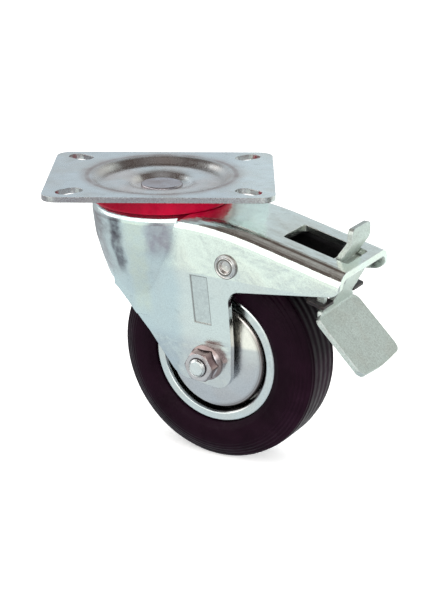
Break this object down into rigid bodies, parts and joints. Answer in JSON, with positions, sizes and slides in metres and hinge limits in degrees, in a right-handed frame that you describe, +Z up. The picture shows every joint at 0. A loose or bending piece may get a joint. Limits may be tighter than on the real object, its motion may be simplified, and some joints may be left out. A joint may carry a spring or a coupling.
{
  "type": "swivel plate caster",
  "caption": "Swivel caster with a slotted top plate, pressed steel fork, rubber wheel and rear foot brake with release ear.",
  "frame": {"origin": "centre of the top plate's upper face, on the swivel axis", "axes": "+Z up out of the plate, X along the plate's long side, Y along its short side; the fork trails towards +X turned 30 degrees towards -Y"},
  "size_m": [0.1599, 0.113, 0.1295],
  "materials": {
    "plate_zinc": "zinc plated, satin bright",
    "fork_zinc": "zinc plated, bright",
    "rim_zinc": "zinc plated, bright",
    "pedal_zinc": "zinc plated, matt brushed",
    "fastener_zinc": "zinc plated, bright",
    "bright_steel": "bare bearing steel, lightly greased",
    "red_seal": "glossy crimson",
    "tyre_rubber": "smooth moulded black rubber",
    "black_spring_steel": "blackened spring steel"
  },
  "bodies": {
    "root": {"top_plate": "plate_zinc", "king_pin": "plate_zinc", "race_spacer": "bright_steel", "lower_race": "bright_steel", "lock_ring": "bright_steel", "king_nut": "bright_steel"},
    "swivel": {"fork": "fork_zinc", "dust_seal": "red_seal", "upper_balls": "bright_steel", "lower_balls": "bright_steel", "pivot_rivets": "fastener_zinc", "axle_bolt": "fastener_zinc", "axle_nut": "fastener_zinc", "far_washer": "fastener_zinc", "axle_sleeve": "bright_steel"},
    "wheel": {"tyre": "tyre_rubber", "near_rim": "rim_zinc", "far_rim": "rim_zinc", "near_dust_cover": "rim_zinc", "far_dust_cover": "rim_zinc", "hub_tube": "bright_steel", "roller_cage": "bright_steel", "rollers": "bright_steel"},
    "lever": {"brake_lever": "pedal_zinc", "brake_leaf": "black_spring_steel"}
  },
  "joints": [
    {"name": "swivel_turn", "type": "hinge", "parent": "root", "child": "swivel", "pos_m": [0, 0, 0], "axis": [0, 0, 1], "continuous": true},
    {"name": "wheel_spin", "type": "hinge", "parent": "swivel", "child": "wheel", "pos_m": [0.03118, -0.018, -0.0795], "axis": [0.5, 0.866, 0], "continuous": true},
    {"name": "brake_pedal", "type": "hinge", "parent": "swivel", "child": "lever", "pos_m": [0.04226, -0.0244, -0.03], "axis": [0.5, 0.866, 0], "range_deg": [0, 5]}
  ]
}
